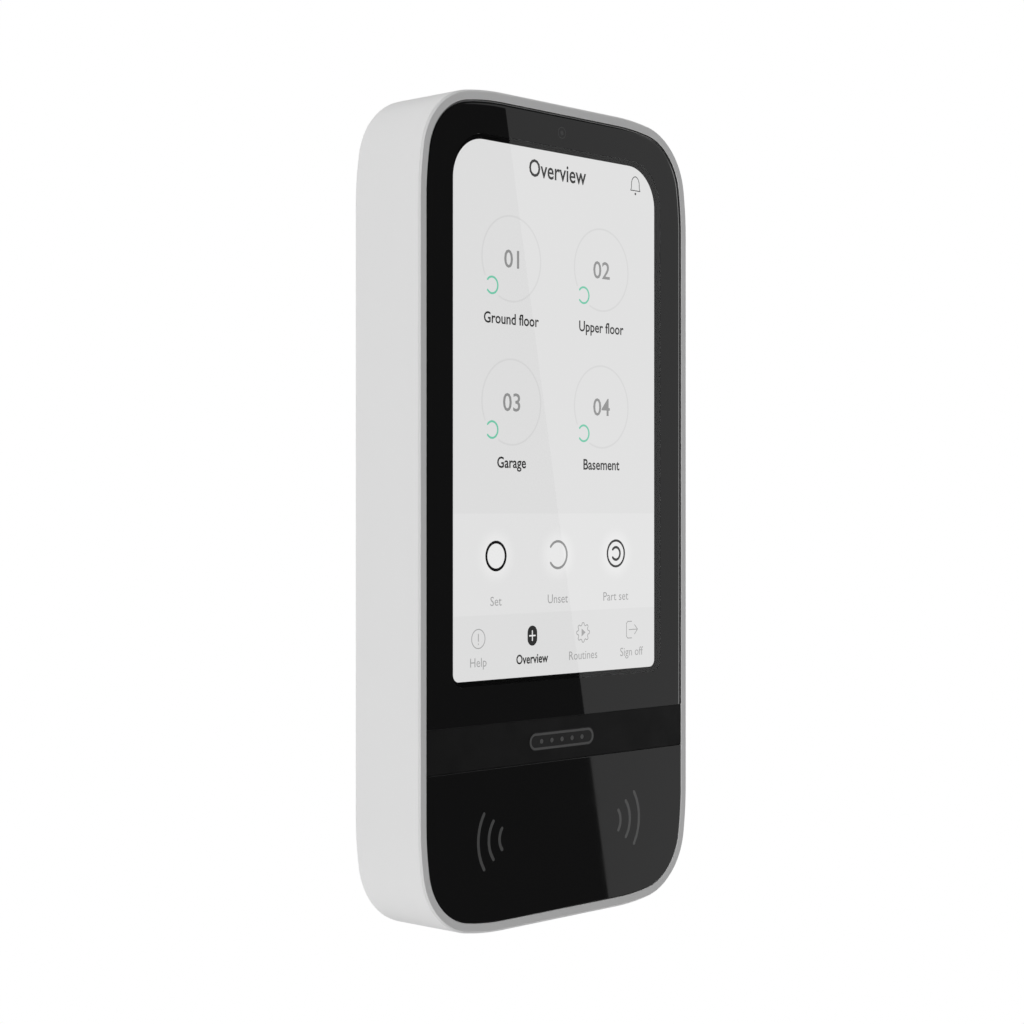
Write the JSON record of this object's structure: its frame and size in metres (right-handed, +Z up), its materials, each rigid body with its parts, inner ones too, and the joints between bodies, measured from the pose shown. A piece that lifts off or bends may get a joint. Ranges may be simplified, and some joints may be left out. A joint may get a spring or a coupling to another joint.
{
  "type": "alarm keypad panel",
  "caption": "Slim rounded wall panel with a touch display, a matt indicator bar and a gloss card reader cover, hung on a hooked mounting plate with a locking screw.",
  "frame": {"origin": "centre of the four wall screw holes, on the wall plane behind the mounting plate", "axes": "+Z up along the panel's height, +X to the viewer's right, -Y out of the wall towards the viewer"},
  "size_m": [0.0844, 0.019, 0.172],
  "materials": {
    "white_plastic": "fine satin moulded",
    "black_plastic": "matt moulded",
    "cover_glass": "polished, printed black border",
    "matt_bar": "matt",
    "gloss_black": "high gloss",
    "smoked_lens": "smoked translucent",
    "touch_film": "clear",
    "display_glass": "lit display",
    "diffuser": "white diffuser",
    "steel": "rolled sheet",
    "screw_steel": "plated",
    "nickel": "nickel plated",
    "brass": "plain",
    "copper_track": "etched track",
    "foam": "closed cell foam",
    "flex": "amber polyimide",
    "circuit_board": "solder mask",
    "chip": "moulded epoxy",
    "connector": "natural nylon",
    "led": "clear epoxy",
    "terminal_green": "moulded",
    "cell_sleeve": "printed sleeve",
    "grey_plastic": "moulded",
    "switch_black": "moulded"
  },
  "bodies": {
    "wall_plate": {"mounting_plate": "white_plastic"},
    "keypad": {"outer_frame": "white_plastic", "front_carrier": "black_plastic", "cover_glass": "cover_glass", "indicator_bar": "matt_bar", "indicator_lens": "smoked_lens", "reader_cover": "gloss_black", "touch_sensor": "touch_film", "display_panel": "display_glass", "backlight_unit": "diffuser", "display_tray": "steel", "display_gasket": "foam", "display_flex": "flex", "reader_board": "circuit_board", "reader_coil": "copper_track", "reader_chip": "chip", "led_board": "circuit_board", "indicator_leds": "led", "main_board": "circuit_board", "shield_cans": "nickel", "board_chips": "chip", "board_connectors": "connector", "power_flex": "flex", "proximity_sensor": "chip", "radio_antenna": "nickel", "power_board": "circuit_board", "buzzer": "switch_black", "terminal_socket": "terminal_green", "terminal_pins": "brass", "battery_holder": "grey_plastic", "battery_contacts": "nickel", "battery_springs": "nickel", "back_cover": "white_plastic", "cover_screws": "screw_steel", "board_screws": "screw_steel", "tamper_switch": "switch_black", "tamper_spring": "screw_steel", "power_switch": "switch_black", "battery_cell_1": "cell_sleeve", "battery_cell_2": "cell_sleeve", "battery_cell_3": "cell_sleeve", "battery_cell_4": "cell_sleeve"},
    "locking_screw": {"locking_screw": "screw_steel"},
    "terminal_plug": {"terminal_plug": "terminal_green", "terminal_screws": "screw_steel"},
    "tamper_plunger": {"tamper_plunger": "grey_plastic"},
    "power_button": {"power_button": "grey_plastic"}
  },
  "joints": [
    {"name": "keypad_lift", "type": "slide", "parent": "wall_plate", "child": "keypad", "axis": [0, 0, 1], "range_m": [0, 0.007]},
    {"name": "locking_screw_withdraw", "type": "slide", "parent": "wall_plate", "child": "locking_screw", "axis": [0, 0, -1], "range_m": [0, 0.009]},
    {"name": "terminal_unplug", "type": "slide", "parent": "keypad", "child": "terminal_plug", "axis": [0, 0, -1], "range_m": [0, 0.006]},
    {"name": "tamper_press", "type": "slide", "parent": "keypad", "child": "tamper_plunger", "axis": [0, -1, 0], "range_m": [0, 0.0015], "stiffness_N_per_m": 400, "springref_m": -0.0012, "deforming": ["tamper_spring"]},
    {"name": "power_press", "type": "slide", "parent": "keypad", "child": "power_button", "axis": [0, -1, 0], "range_m": [0, 0.0008], "stiffness_N_per_m": 1500, "springref_m": -0.0006}
  ]
}
